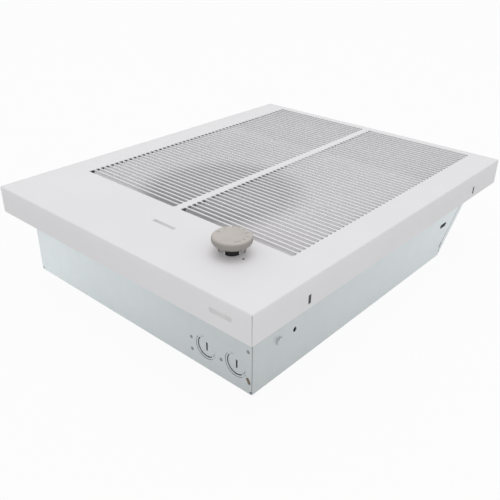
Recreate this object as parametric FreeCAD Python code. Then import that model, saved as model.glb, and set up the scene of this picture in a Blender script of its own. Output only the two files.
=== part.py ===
import FreeCAD, Part
import math
import os

V = FreeCAD.Vector

# Recessed wall heater lying on its back, in millimetres.
# X runs across the width, Y towards the top end, Z out of the front.
# The origin is on the back face, below the middle of the front cover.

# Front cover
cover_width = 405.0
cover_height = 505.0
cover_depth = 33.0
cover_gauge = 1.0
cover_bend = 2.5
flange_drop = 2.0
corner_seam = 0.6

# Louvre grille
louvre_pitch = 7.5
louvre_slit = 5.7
louvre_drop = 1.8
louvre_tilt = 81.0
mouth_extra = 2.0
grille_side_border = 37.5
grille_top_border = 13.0
grille_bottom_border = 103.5
grille_middle_bar = 10.0

# Can
can_depth = 86.0
can_gauge = 1.0
can_bend = 2.0
can_stand = 20.0
cover_overlap_side = 21.5
cover_overlap_bottom = 26.5
cover_overlap_top = 21.5
slope_run = 79.0
slope_rise = 77.0
slope_setback = 9.4
end_flange = 15.0
corner_relief = 2.5
top_flange = 22.0
sheet_fit = 0.2

# Holes in the can
knockout_diameter = 22.2
knockout_groove = 0.8
knockout_tab = 3.0
knockout_tab_turn = 45.0
knockout_height = 26.4
knockout_spacing = 40.6
knockout_from_side = 22.0
pry_slot_length = 10.0
pry_slot_width = 2.2
stud_hole = 5.5
stud_slot_length = 17.0
stud_hole_height = 45.0
stud_hole_from_bottom = 63.0
stud_slot_from_top = 75.0

# Cover brackets and clips
bracket_gauge = 1.2
bracket_offset = 2.0
bracket_lip = 15.0
bracket_end_margin = 30.0
clip_from_bottom = 81.2
clip_from_top = 71.7
clip_setback = 8.0
clip_slot_length = 10.0
clip_slot_width = 4.4
clip_play = 0.6
clip_plate = 8.0

# Fan deck and partition
control_width = 92.0
deck_gauge = 1.0
deck_margin = 20.5
deck_lip = 4.0
inlet_gap = 50.0
deck_notch_margin = 46.0
deck_tab_width = 30.0
deck_tab_drop = 50.0
deck_screw_from_bottom = 38.0
deck_screw_from_edge = 9.0
partition_gauge = 1.0
partition_top_margin = 4.0

# Screws
screw_head = 7.6
screw_head_height = 2.4

# Motor and its bracket
motor_plate_height = 16.0
motor_plate_gauge = 1.5
motor_plate_span = 120.0
motor_plate_width = 46.0
bracket_foot = 16.0
bridge_height = 10.0
bridge_bar = 3.0
bridge_width = 18.0
bridge_leg = 8.0
stator_stack = 20.0
stator_width = 76.0
stator_above = 26.0
stator_below = 50.0
stator_window_width = 46.0
stator_leg = 12.0
rotor_diameter = 36.0
rotor_gap = 0.5
coil_wall = 8.0
coil_fit = 0.3
shaft_diameter = 6.35
shaft_end_play = 0.5
bearing_length = 8.0
running_fit = 0.03
press_play = 0.02
motor_screw_offset = 28.0

# Fan
fan_blades = 5
fan_gap = 4.0
fan_motor_gap = 3.0
fan_tip_clearance = 8.0
blade_thickness = 1.2
blade_pitch = 24.0
blade_taper = 0.55
spider_diameter = 64.0
spider_gauge = 1.6
spider_lap = 6.0
hub_width = 18.0

# Heating element
element_passes = 2
element_spacing = 92.0
element_tube = 8.0
tube_sides = 6
element_inset = 77.0
element_drop = 12.0
element_tail = 18.0
element_clearance = 4.0
fin_thickness = 0.6
fin_pitch = 12.0
fin_margin = 14.0
support_gauge = 1.2
support_from_bend = 6.0
support_foot = 10.0
support_margin = 4.0
bushing_width = 16.0
bushing_collar = 3.0
bushing_tail = 5.0
tube_play = 0.1

# Thermostat and knob
knob_from_right = 86.5
knob_from_bottom = 68.0
knob_diameter = 41.0
knob_top_diameter = 37.0
knob_foot_diameter = 29.0
knob_flare = 5.0
knob_thickness = 9.8
knob_gap = 9.5
knob_leg_radius = 12.8
knob_leg_width = 4.0
knob_leg_thickness = 2.0
knob_leg_gap = 0.8
knob_leg_angle = 38.0
knob_wall = 2.4
sleeve_diameter = 14.0
sleeve_gap = 0.5
sleeve_play = 0.3
cover_hole = 17.0
pointer_hole = 3.0
pointer_from_right = 69.5
pointer_from_bottom = 65.5
stem_diameter = 6.0
stem_flat = 1.5
stem_seat = 11.0
stem_play = 1.0
thermostat_width = 50.0
thermostat_length = 56.0
thermostat_height = 34.0
terminal_width = 6.3
terminal_thickness = 0.8
terminal_length = 8.0
thermostat_ear = 8.0
thermostat_ear_gauge = 3.0

# Controls
limit_width = 16.0
limit_height = 9.0
limit_ear = 36.0
limit_ear_width = 10.0
limit_ear_gauge = 1.0
limit_offset_x = 118.0
limit_offset_y = 94.0
delay_width = 26.0
delay_length = 34.0
delay_height = 30.0
ground_screw_from_bottom = 40.0

# Derived planes and centres
flange_foot = can_depth - flange_drop
front_z = flange_foot + cover_depth
deck_z = can_depth
can_front = can_depth + can_stand
cover_x = cover_width / 2
cover_y = cover_height / 2
can_x = cover_x - cover_overlap_side
can_in = can_x - can_gauge
can_bottom = -cover_y + cover_overlap_bottom
can_top = cover_y - cover_overlap_top
can_bottom_in = can_bottom + can_gauge
slope_foot = can_top - slope_run
slope_angle = math.atan2(slope_rise, slope_run)
deck_x = can_in - can_gauge - 2 * sheet_fit
deck_bottom = can_bottom_in + sheet_fit
deck_top = can_top - inlet_gap
partition_x = can_in - control_width
fan_x = (partition_x - can_in) / 2
fan_y = (deck_bottom + deck_top) / 2
fan_opening = (partition_x + can_in) / 2 - deck_margin
fan_radius = fan_opening - fan_tip_clearance
element_straight = 2 * fan_opening - element_inset
knob_x = cover_x - knob_from_right
knob_y = -cover_y + knob_from_bottom
deck_screw_y = can_bottom + deck_screw_from_bottom
stud_hole_y = can_bottom + stud_hole_from_bottom
stud_slot_y = can_top - stud_slot_from_top
motor_rear_z = motor_plate_height
stator_z = motor_rear_z + bridge_height
stator_top = stator_z + stator_stack
motor_top = stator_top + bridge_height
fan_low = motor_top + fan_motor_gap
fan_high = deck_z - deck_gauge - fan_gap
fan_middle = (fan_low + fan_high) / 2
element_z = (deck_z + deck_lip + front_z - cover_gauge) / 2
fin_size = front_z - cover_gauge - deck_z - deck_lip - 2 * element_clearance


def block(x0, x1, y0, y1, z0, z1):
    """Box between two corners."""
    return Part.makeBox(x1 - x0, y1 - y0, z1 - z0, V(x0, y0, z0))


def rod(centre, axis, diameter, length):
    """Round bar from a centre point along an axis."""
    return Part.makeCylinder(diameter / 2, length, centre, axis)


def prism(points, start, sweep):
    """Closed outline of 3-D points, moved to start and swept along a vector."""
    corners = [p + start for p in points]
    wire = Part.makePolygon(corners + [corners[0]])
    return Part.Face(wire).extrude(sweep)


def along_x(outline, x0, x1):
    """Outline of (y, z) points swept from x0 to x1."""
    return prism([V(0, y, z) for y, z in outline], V(x0, 0, 0), V(x1 - x0, 0, 0))


def along_y(outline, y0, y1):
    """Outline of (x, z) points swept from y0 to y1."""
    return prism([V(x, 0, z) for x, z in outline], V(0, y0, 0), V(0, y1 - y0, 0))


def along_z(outline, z0, z1):
    """Outline of (x, y) points swept from z0 to z1."""
    return prism([V(x, y, 0) for x, y in outline], V(0, 0, z0), V(0, 0, z1 - z0))


def strip(line, thickness):
    """Outline of a bent strip: a line of points and its copy set off to the left by the thickness."""
    normals = []
    for a, b in zip(line, line[1:]):
        run = math.hypot(b[0] - a[0], b[1] - a[1])
        normals.append(((a[1] - b[1]) / run, (b[0] - a[0]) / run))
    set_off = []
    for i, (px, py) in enumerate(line):
        before = normals[max(i - 1, 0)]
        after = normals[min(i, len(normals) - 1)]
        scale = thickness / (1 + before[0] * after[0] + before[1] * after[1])
        set_off.append((px + (before[0] + after[0]) * scale, py + (before[1] + after[1]) * scale))
    return list(line) + set_off[::-1]


def obround(centre, along, through, length, width, depth):
    """Slot body: a bar with round ends, its long side along one axis, its depth through another."""
    half = (length - width) / 2
    side = through.cross(along)
    corners = [
        centre + along * (i * half) + side * (j * width / 2)
        for i, j in ((-1, -1), (1, -1), (1, 1), (-1, 1))
    ]
    body = prism(corners, V(0, 0, 0), through * depth)
    ends = [rod(centre + along * (i * half), through, width, depth) for i in (-1, 1)]
    return body.fuse(ends).removeSplitter()


def revolve(profile, centre):
    """Solid of revolution about Z through a centre, from (radius, height) points."""
    points = [centre + V(r, 0, z) for r, z in profile]
    wire = Part.makePolygon(points + [points[0]])
    return Part.Face(wire).revolve(centre, V(0, 0, 1), 360)


def screw_heads(seats, direction):
    """Hexagon heads of a group of screws, each standing on its seat along the direction."""
    return Part.makeCompound([
        polygon_bar(seat, direction, screw_head, screw_head_height, 6) for seat in seats
    ])


def polygon_bar(centre, axis, width, length, sides):
    """Bar along X or Z from a centre, one flat side square to Y; width is across the flats."""
    radius = width / 2 / math.cos(math.pi / sides)
    across = V(0, 1, 0)
    other = axis.cross(across)
    corners = []
    for i in range(sides):
        angle = math.pi * (2 * i + 1) / sides
        corners.append(centre + across * (radius * math.cos(angle)) + other * (radius * math.sin(angle)))
    return prism(corners, V(0, 0, 0), axis * length)


def bottom_edges(solid, height):
    """Level edges of a solid that lie at a height."""
    return [e for e in solid.Edges if all(abs(v.Point.z - height) < 1e-6 for v in e.Vertexes)]


# Louvres
def slit(y0, y1, x0, x1):
    """Opening of one louvre through the face of the cover."""
    return block(x0, x1, y0, y1, front_z - 2 * cover_gauge, front_z + cover_gauge)


def vane(y, x0, x1):
    """Strip bent down into the slit from its far edge at y, its face turned towards -Y."""
    tilt = math.radians(louvre_tilt)
    across = cover_gauge * math.sin(tilt)
    down = cover_gauge * math.cos(tilt)
    lap = cover_gauge * math.tan(tilt / 2)
    tip_y = y - louvre_drop / math.tan(tilt)
    tip_z = front_z - louvre_drop
    outline = [(y, front_z), (tip_y, tip_z), (tip_y + across, tip_z - down),
               (y + lap, front_z - cover_gauge), (y + lap, front_z)]
    return along_x(outline, x0, x1)


def front_cover():
    """Folded pan with louvres bent in from its face, slots in its sides, control and pointer holes."""
    pan = block(-cover_x, cover_x, -cover_y, cover_y, flange_foot, front_z)
    pan = pan.makeFillet(cover_bend, bottom_edges(pan, front_z))
    inside_x = cover_x - cover_gauge
    inside_y = cover_y - cover_gauge
    hollow = block(-inside_x, inside_x, -inside_y, inside_y, flange_foot - 1, front_z - cover_gauge)
    cover = pan.cut(hollow)

    first = -cover_y + grille_bottom_border
    room = cover_height - grille_bottom_border - grille_top_border - louvre_slit
    rows = int(room / louvre_pitch) + 1
    length = (cover_width - grille_middle_bar) / 2 - grille_side_border
    slits = []
    vanes = []
    for x0 in (-grille_middle_bar / 2 - length, grille_middle_bar / 2):
        slits.append(slit(first - mouth_extra, first + cover_gauge, x0, x0 + length))
        first_slit = slit(first, first + louvre_slit, x0, x0 + length)
        first_vane = vane(first + louvre_slit, x0, x0 + length)
        for row in range(rows):
            step = V(0, row * louvre_pitch, 0)
            slits.append(first_slit.translated(step))
            vanes.append(first_vane.translated(step))
    cover = cover.cut(slits).fuse(vanes).removeSplitter()

    cuts = []
    for side in (-1, 1):
        for y in clip_places():
            slot = block(-cover_gauge - 1, cover_gauge + 1, -clip_slot_width / 2, clip_slot_width / 2,
                         -clip_slot_length / 2, clip_slot_length / 2)
            cuts.append(slot.translated(V(side * cover_x, y, can_depth + clip_setback)))
        for end in (-1, 1):
            corner = V(side * cover_x, end * cover_y, flange_foot - 1)
            reach = 2 * cover_gauge
            seam = block(-reach, reach, -corner_seam / 2, corner_seam / 2, 0, cover_depth + 1 - cover_bend)
            seam.rotate(V(0, 0, 0), V(0, 0, 1), 45 * side * end)
            seam.translate(corner)
            cuts.append(seam)
    low = front_z - cover_gauge - 1
    depth = cover_gauge + 2
    cuts.append(rod(V(knob_x, knob_y, low), V(0, 0, 1), cover_hole, depth))
    pointer = V(cover_x - pointer_from_right, -cover_y + pointer_from_bottom, low)
    cuts.append(rod(pointer, V(0, 0, 1), pointer_hole, depth))
    return cover.cut(cuts)


def clip_places():
    """Heights of the clips along the cover's sides."""
    return (-cover_y + clip_from_bottom, cover_y - clip_from_top)


# Can
def side_edge():
    """Corners of the wrapper's top edge seen from the side: a short upright, the slope and an upright."""
    shift_y = -math.sin(slope_angle) * slope_setback
    shift_z = math.cos(slope_angle) * slope_setback
    foot = slope_foot + can_bend
    top = can_top - slope_setback
    rise = math.tan(slope_angle)
    foot_z = shift_z + (foot - slope_foot - shift_y) * rise
    top_z = shift_z + (top - slope_foot - shift_y) * rise
    return foot, foot_z, top, top_z


def can_wrapper():
    """Back and two sides from one sheet, cut to the slope at the top end."""
    outer = block(-can_x, can_x, can_bottom, can_top, 0, can_front)
    level = [e for e in bottom_edges(outer, 0) if abs(e.tangentAt(0).y) > 0.999]
    outer = outer.makeFillet(can_bend, level)
    inner = block(-can_in, can_in, can_bottom - 1, can_top + 1, can_gauge, can_front + 1)
    level = [e for e in bottom_edges(inner, can_gauge) if abs(e.tangentAt(0).y) > 0.999]
    inner = inner.makeFillet(can_bend - can_gauge, level)
    foot, foot_z, top, top_z = side_edge()
    beyond = can_top + 1
    above = can_front + 1
    away = [(foot, -1), (foot, foot_z), (top, top_z), (top, above), (beyond, above), (beyond, -1)]
    cuts = [inner, along_x(away, -can_x - 1, can_x + 1)]
    for side in (-1, 1):
        through = V(-side, 0, 0)
        start = side * (can_x + 1)
        depth = can_gauge + 2
        cuts.append(rod(V(start, stud_hole_y, stud_hole_height), through, stud_hole, depth))
        slot = V(start, stud_slot_y, stud_hole_height)
        cuts.append(obround(slot, V(0, 1, 0), through, stud_slot_length, stud_hole, depth))
    return outer.cut(cuts)


def knockouts():
    """Places across the width of the two conduit knockouts."""
    far = can_x - knockout_from_side
    return (far - knockout_spacing, far)


def knockout_ring(centre):
    """Groove through the end panel round a knockout, broken by two tabs."""
    depth = can_gauge + 2
    ring = rod(centre, V(0, 1, 0), knockout_diameter + knockout_groove, depth)
    ring = ring.cut(rod(centre, V(0, 1, 0), knockout_diameter - knockout_groove, depth))
    tab = block(-knockout_diameter, knockout_diameter, 0, depth, -knockout_tab / 2, knockout_tab / 2)
    tab.rotate(V(0, 0, 0), V(0, 1, 0), knockout_tab_turn)
    return ring.cut(tab.translated(centre))


def can_bottom_end():
    """Flanged end panel with two knockouts and their pry slots."""
    half = can_in - sheet_fit
    low = can_gauge
    wall = block(-half, half, can_bottom, can_bottom_in, low, can_front)
    reach = can_bottom + end_flange
    floor = block(-half, half, can_bottom, reach, low, low + can_gauge)
    sides = [
        block(min(s * half, s * (half - can_gauge)), max(s * half, s * (half - can_gauge)),
              can_bottom, reach, low, can_front)
        for s in (-1, 1)
    ]
    panel = wall.fuse([floor] + sides).removeSplitter()
    cuts = corner_reliefs(can_bottom - 1, reach + 1)
    for x in knockouts():
        centre = V(x, can_bottom - 1, knockout_height)
        cuts.append(knockout_ring(centre))
        half_x = pry_slot_width / 2
        half_z = pry_slot_length / 2
        slot = block(-half_x, half_x, 0, can_gauge + 2, -half_z, half_z)
        cuts.append(slot.translated(centre))
    return panel.cut(cuts)


def corner_reliefs(y0, y1):
    """Clear strips along the can's two long inside corners, where the wrapper's bends run."""
    edge = can_in - corner_relief
    strips = [block(edge, can_in, y0, y1, can_gauge - 1, can_gauge + corner_relief)]
    strips.append(strips[0].mirror(V(0, 0, 0), V(1, 0, 0)))
    return strips


def can_top_end():
    """Sloped end panel: a lap on the back, the slope, the upright end and a flange down each side."""
    half = can_in - sheet_fit
    line = [(slope_foot - end_flange, can_gauge), (slope_foot + can_bend, can_gauge),
            (can_top, slope_rise), (can_top, can_front)]
    panel = along_x(strip(line, can_gauge), -half, half)
    band = strip(line[1:], top_flange)
    sides = [along_x(band, min(s * half, s * (half - can_gauge)), max(s * half, s * (half - can_gauge)))
             for s in (-1, 1)]
    panel = panel.fuse(sides).removeSplitter()
    return panel.cut(corner_reliefs(slope_foot - end_flange - 1, slope_foot + can_bend))


# Cover brackets
def cover_bracket(side):
    """Open channel along one side of the can: one wall on the can, the other behind the cover's flange."""
    low = can_depth + bracket_offset
    high = low + bracket_lip
    inside = can_x
    outside = cover_x - cover_gauge
    line = [(inside, high), (inside, low), (outside, low), (outside, high)]
    channel = along_y(strip(line, bracket_gauge), -cover_y + bracket_end_margin + cover_overlap_bottom,
                      cover_y - bracket_end_margin - cover_overlap_top)
    length = clip_slot_length - clip_play
    width = clip_slot_width - clip_play
    half_y = width / 2 + sheet_fit
    half_z = length / 2 + sheet_fit
    z = can_depth + clip_setback
    cuts = [
        block(outside - bracket_gauge - 1, outside + 1, y - half_y, y + half_y, z - half_z, z + half_z)
        for y in clip_places()
    ]
    channel = channel.cut(cuts)
    return channel if side > 0 else channel.mirror(V(0, 0, 0), V(1, 0, 0))


def cover_clips():
    """Spring clips: a plate inside each bracket wall and a nose through its slot into the cover."""
    clips = []
    length = clip_slot_length - clip_play
    width = clip_slot_width - clip_play
    back = cover_x - cover_gauge - bracket_gauge
    z = can_depth + clip_setback
    for y in clip_places():
        tip = cover_x - cover_gauge * 0.4
        nose = block(back, tip, y - width / 2, y + width / 2, z - length / 2, z + length / 2)
        low = can_depth + bracket_offset + bracket_gauge + sheet_fit
        plate = block(back - bracket_gauge, back, y - clip_plate, y + clip_plate, low,
                      can_depth + bracket_offset + bracket_lip - sheet_fit)
        clip = nose.fuse(plate).removeSplitter()
        clips.append(clip)
        clips.append(clip.mirror(V(0, 0, 0), V(1, 0, 0)))
    return Part.makeCompound(clips)


# Fan deck and partition
def thermostat_ears():
    """Places of the two thermostat screws."""
    reach = thermostat_length / 2 - thermostat_ear / 2
    return [(knob_x, knob_y - reach), (knob_x, knob_y + reach)]


def limit_place():
    return fan_x + limit_offset_x, fan_y + limit_offset_y


def limit_ears():
    """Places of the limit control's two screws."""
    x, y = limit_place()
    reach = (limit_ear - screw_head) / 2
    return [(x, y - reach), (x, y + reach)]


def element_tails():
    """Places where the element's two ends go down through the deck."""
    x = partition_x + element_drop + element_tube + partition_gauge
    half = element_spacing * (element_passes - 1) / 2
    return [(x, fan_y - half), (x, fan_y + half)]


def fan_deck():
    """Chassis plate with the rolled fan opening, an air inlet notch at the top and two screw tabs."""
    notch_x = partition_x - deck_notch_margin
    high = can_top - can_gauge - sheet_fit - end_flange
    outline = [(-deck_x, deck_bottom), (deck_x, deck_bottom), (deck_x, high), (notch_x, high),
               (notch_x, deck_top), (-deck_x, deck_top)]
    low = deck_z - deck_gauge
    plate = along_z(outline, low, deck_z)
    centre = V(fan_x, fan_y, low)
    collar = rod(centre, V(0, 0, 1), 2 * (fan_opening + deck_gauge), deck_gauge + deck_lip)
    pieces = [collar]
    stiffener = deck_z - deck_lip * 2
    pieces.append(block(-deck_x, notch_x, deck_top - deck_gauge, deck_top, stiffener, deck_z))
    tab_low = deck_z - deck_tab_drop
    y0 = deck_screw_y - deck_tab_width / 2
    y1 = deck_screw_y + deck_tab_width / 2
    wall = can_in - sheet_fit
    for side in (-1, 1):
        edge = sorted((side * (wall - deck_gauge), side * wall))
        pieces.append(block(edge[0], edge[1], y0, y1, tab_low, deck_z))
        bridge = sorted((side * (deck_x - 1), side * wall))
        pieces.append(block(bridge[0], bridge[1], y0, y1, low, deck_z))
    deck = plate.fuse(pieces)
    cuts = [rod(centre - V(0, 0, 1), V(0, 0, 1), 2 * fan_opening, deck_lip + deck_gauge + 2)]
    drill = low - 1
    depth = deck_gauge + 2
    cuts.append(rod(V(knob_x, knob_y, drill), V(0, 0, 1), sleeve_diameter + 2 * sleeve_play, depth))
    for x, y in element_tails():
        cuts.append(polygon_bar(V(x, y, drill), V(0, 0, 1), bushing_width + 2 * tube_play, depth, 6))
    return deck.cut(cuts).removeSplitter()


def deck_screws():
    """Screw heads on the can's sides, where the deck's tabs are held."""
    heads = []
    for side in (-1, 1):
        seat = V(side * can_x, deck_screw_y, deck_z - deck_tab_drop + deck_screw_from_edge)
        heads.extend(screw_heads([seat], V(side, 0, 0)).Solids)
    return Part.makeCompound(heads)


def wiring_partition():
    """Upright wall beside the fan, turned across the top of the wiring compartment."""
    top = slope_foot - end_flange - partition_top_margin
    bottom = can_bottom + end_flange + sheet_fit
    line = [(partition_x, bottom), (partition_x, top), (deck_x - sheet_fit, top)]
    return along_z(strip(line, -partition_gauge), can_gauge, deck_z - deck_gauge)


# Motor
def motor_feet():
    """Places of the screws in the motor bracket's feet."""
    x = motor_plate_span / 2 + bracket_foot / 2
    y = motor_plate_width / 4
    return [(fan_x + i * x, fan_y + j * y) for i in (-1, 1) for j in (-1, 1)]


def motor_bolts():
    return [(fan_x - motor_screw_offset, fan_y), (fan_x + motor_screw_offset, fan_y)]


def motor_bracket():
    """Hat-shaped strap from foot to foot across the back."""
    half = motor_plate_span / 2
    low = can_gauge
    high = motor_plate_height - motor_plate_gauge
    line = [(fan_x - half - bracket_foot, low), (fan_x - half, low), (fan_x - half, high),
            (fan_x + half, high), (fan_x + half, low), (fan_x + half + bracket_foot, low)]
    wide = motor_plate_width / 2
    return along_y(strip(line, motor_plate_gauge), fan_y - wide, fan_y + wide)


def bracket_screws():
    """Screw heads on the motor bracket's feet."""
    seat = can_gauge + motor_plate_gauge
    return screw_heads([V(x, y, seat) for x, y in motor_feet()], V(0, 0, 1))


def motor_stator():
    """Stack of C-shaped laminations: the rotor bore above, the coil window and the coil leg below."""
    half = stator_width / 2
    bore = rotor_diameter / 2 + rotor_gap
    body = block(fan_x - half, fan_x + half, fan_y - stator_below, fan_y + stator_above, stator_z, stator_top)
    open_half = stator_window_width / 2
    window = block(fan_x - open_half, fan_x + open_half, fan_y - stator_below + stator_leg,
                   fan_y - bore - coil_wall / 2, stator_z - 1, stator_top + 1)
    return body.cut([window, rod(V(fan_x, fan_y, stator_z - 1), V(0, 0, 1), 2 * bore, stator_stack + 2)])


def motor_coil():
    """Winding on the coil leg, wider than the stack by its wall."""
    half = stator_window_width / 2 - coil_fit
    leg_low = fan_y - stator_below
    leg_high = leg_low + stator_leg
    top = fan_y - rotor_diameter / 2 - rotor_gap - coil_wall / 2 - coil_fit
    wall = min(coil_wall, top - leg_high)
    outer = block(fan_x - half, fan_x + half, leg_low - wall, leg_high + wall,
                  stator_z - wall, stator_top + wall)
    hole = block(fan_x - half - 1, fan_x + half + 1, leg_low - coil_fit, leg_high + coil_fit,
                 stator_z - coil_fit, stator_top + coil_fit)
    return outer.cut(hole)


def motor_bridge(face, direction):
    """Bridge on one face of the stator: a bar on two legs with the shaft's bearing in its middle."""
    half = motor_screw_offset + bridge_leg / 2
    far = face + direction * bridge_height
    bar = face + direction * (bridge_height - bridge_bar)

    def level(x0, x1, z0, z1):
        return block(fan_x + x0, fan_x + x1, fan_y - bridge_width / 2, fan_y + bridge_width / 2,
                     min(z0, z1), max(z0, z1))

    pieces = [level(half - bridge_leg, half, face, far), level(-half, bridge_leg - half, face, far)]
    boss = level(-bridge_width / 2, bridge_width / 2, far - direction * bearing_length, far)
    bridge = level(-half, half, bar, far).fuse(pieces + [boss]).removeSplitter()
    bearing = shaft_diameter + 2 * running_fit
    return bridge.cut(rod(V(fan_x, fan_y, min(face, far) - 1), V(0, 0, 1), bearing, bridge_height + 2))


def motor_rotor():
    """Rotor and its shaft, from the rear bearing to the top of the fan hub."""
    low = motor_rear_z + shaft_end_play
    shaft = rod(V(fan_x, fan_y, low), V(0, 0, 1), shaft_diameter, fan_high - low)
    return shaft.fuse(rod(V(fan_x, fan_y, stator_z), V(0, 0, 1), rotor_diameter, stator_stack))


def motor_screws():
    """Heads of the two long screws that clamp the bridges and the stator to the bracket."""
    return screw_heads([V(x, y, motor_top) for x, y in motor_bolts()], V(0, 0, 1))


# Fan
def fan_blade():
    """Pressed propeller: pitched blades, wider towards the tip, on a round spider."""
    turn = math.radians(blade_pitch)
    chord = (fan_high - fan_low - blade_thickness) / math.sin(turn)
    root = spider_diameter / 2 - spider_lap
    tip = math.sqrt(fan_radius ** 2 - (chord / 2) ** 2)
    narrow = chord * blade_taper
    planform = [(root, -narrow / 2), (tip, -chord / 2), (tip, chord / 2), (root, narrow / 2)]
    blade = along_z(planform, -blade_thickness / 2, blade_thickness / 2)
    blade.rotate(V(0, 0, 0), V(1, 0, 0), blade_pitch)
    spider = rod(V(0, 0, -spider_gauge / 2), V(0, 0, 1), spider_diameter, spider_gauge)
    blades = []
    for i in range(fan_blades):
        copy = blade.copy()
        copy.rotate(V(0, 0, 0), V(0, 0, 1), 360 / fan_blades * i)
        blades.append(copy)
    fan = spider.fuse(blades)
    seat = polygon_bar(V(0, 0, fan_low - fan_high), V(0, 0, 1), hub_width + 2 * press_play,
                       2 * (fan_high - fan_low), 6)
    fan = fan.cut(seat)
    fan.translate(V(fan_x, fan_y, fan_middle))
    return fan


def fan_hub():
    """Hexagon hub between the shaft and the fan's spider."""
    foot = V(fan_x, fan_y, fan_low)
    length = fan_high - fan_low
    body = polygon_bar(foot, V(0, 0, 1), hub_width, length, 6)
    return body.cut(rod(foot, V(0, 0, 1), shaft_diameter + 2 * press_play, length))


# Heating element
def bend(a, middle, b):
    return Part.Arc(a, middle, b).toShape()


def pass_heights():
    half = element_spacing * (element_passes - 1) / 2
    return [fan_y - half + i * element_spacing for i in range(element_passes)]


def heating_element():
    """Sheathed tube: up through the deck, back and forth across the fan opening and down again."""
    tail_x = element_tails()[0][0]
    left = fan_x - element_straight / 2
    right = fan_x + element_straight / 2
    heights = pass_heights()
    r = element_drop
    z = element_z
    low = deck_z - element_tail
    slant = r * math.sqrt(0.5)
    first, last = heights[0], heights[-1]
    edges = [Part.makeLine(V(tail_x, first, low), V(tail_x, first, z - r))]
    knee_x = tail_x - r + slant
    knee_z = z - r + slant
    edges.append(bend(V(tail_x, first, z - r), V(knee_x, first, knee_z), V(tail_x - r, first, z)))
    edges.append(Part.makeLine(V(tail_x - r, first, z), V(left, first, z)))
    turn = element_spacing / 2
    for i in range(element_passes - 1):
        outward = -1 if i % 2 == 0 else 1
        x = left if i % 2 == 0 else right
        other = right if i % 2 == 0 else left
        a = V(x, heights[i], z)
        b = V(x, heights[i + 1], z)
        edges.append(bend(a, V(x + outward * turn, heights[i] + turn, z), b))
        stop = other if i < element_passes - 2 else tail_x - r
        edges.append(Part.makeLine(b, V(stop, heights[i + 1], z)))
    edges.append(bend(V(tail_x - r, last, z), V(knee_x, last, knee_z), V(tail_x, last, z - r)))
    edges.append(Part.makeLine(V(tail_x, last, z - r), V(tail_x, last, low)))
    path = Part.Wire(edges)
    section = polygon_bar(V(tail_x, first, low), V(0, 0, 1), element_tube, 1, tube_sides)
    ring = [face for face in section.Faces if abs(face.CenterOfMass.z - low) < 1e-6][0].OuterWire
    return path.makePipeShell([ring], True, False)


def element_fins():
    """Square fins threaded on the straight passes."""
    half = fin_size / 2
    fin = block(0, fin_thickness, -half, half, -half, half)
    hole_y = element_tube / 2 + tube_play
    hole_z = element_tube / 2 / math.cos(math.pi / tube_sides) + tube_play
    fin = fin.cut(block(-1, fin_thickness + 1, -hole_y, hole_y, -hole_z, hole_z))
    run = element_straight - 2 * fin_margin
    count = int(run / fin_pitch) + 1
    start = fan_x - (count - 1) * fin_pitch / 2
    return Part.makeCompound([
        fin.translated(V(start + i * fin_pitch, y, element_z)) for y in pass_heights() for i in range(count)
    ])


def element_bracket(side):
    """Upright support across the passes, bridging the fan opening on two feet."""
    offset = element_straight / 2 - support_from_bend
    x = fan_x + side * offset
    heights = pass_heights()
    half = fin_size / 2
    low = element_z - half
    high = element_z + half
    reach = math.sqrt((fan_opening + deck_gauge + support_margin) ** 2 - offset ** 2) + support_foot
    y0 = fan_y - reach
    y1 = fan_y + reach
    wall = block(x, x + support_gauge, y0, y1, low, high)
    foot = x + side * support_foot
    pieces = []
    for a, b in ((y0, y0 + support_foot), (y1 - support_foot, y1)):
        pieces.append(block(x, x + support_gauge, a, b, deck_z, low))
        pieces.append(block(min(x, foot), max(x + support_gauge, foot), a, b, deck_z, deck_z + support_gauge))
    wall = wall.fuse(pieces).removeSplitter()
    hole = element_tube + 2 * tube_play
    return wall.cut([
        polygon_bar(V(x - 1, y, element_z), V(1, 0, 0), hole, support_gauge + 2, tube_sides) for y in heights
    ])


def element_bushings():
    """Hexagon fittings where the element's ends pass the deck."""
    fittings = []
    for x, y in element_tails():
        low = deck_z - deck_gauge - bushing_tail
        wide = bushing_width + 2 * bushing_collar
        hole = element_tube + 2 * tube_play
        body = polygon_bar(V(x, y, low), V(0, 0, 1), bushing_width, bushing_tail + deck_gauge, 6)
        collar = polygon_bar(V(x, y, deck_z), V(0, 0, 1), wide, bushing_collar, 6)
        bore = polygon_bar(V(x, y, low - 1), V(0, 0, 1), hole, 2 * element_tail, tube_sides)
        fittings.append(body.fuse(collar).cut(bore))
    return Part.makeCompound(fittings)


# Thermostat and knob
def terminal(x, y, z0, z1):
    """Blade terminal, its width across X."""
    half_x = terminal_width / 2
    half_y = terminal_thickness / 2
    return block(x - half_x, x + half_x, y - half_y, y + half_y, z0, z1)


def thermostat_body():
    """Moulded case under the deck with screw ears, blade terminals and the sleeve for its stem."""
    high = deck_z - deck_gauge
    low = high - thermostat_height
    half_x = thermostat_width / 2
    half_y = thermostat_length / 2 - thermostat_ear
    case = block(knob_x - half_x, knob_x + half_x, knob_y - half_y, knob_y + half_y, low, high)
    full = thermostat_length / 2
    ear = block(knob_x - thermostat_ear, knob_x + thermostat_ear, knob_y - full, knob_y + full,
                high - thermostat_ear_gauge, high)
    pieces = [ear]
    for i in (-1, 1):
        for j in (-1, 1):
            x = knob_x + i * half_x / 2
            y = knob_y + j * half_y / 2
            pieces.append(terminal(x, y, low - terminal_length, low))
    sleeve_top = front_z + knob_gap - sleeve_gap
    pieces.append(rod(V(knob_x, knob_y, high), V(0, 0, 1), sleeve_diameter, sleeve_top - high))
    case = case.fuse(pieces).removeSplitter()
    bore_low = stem_low() - stem_play
    bore = stem_diameter + 2 * running_fit
    return case.cut(rod(V(knob_x, knob_y, bore_low), V(0, 0, 1), bore, sleeve_top - bore_low + 1))


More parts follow.
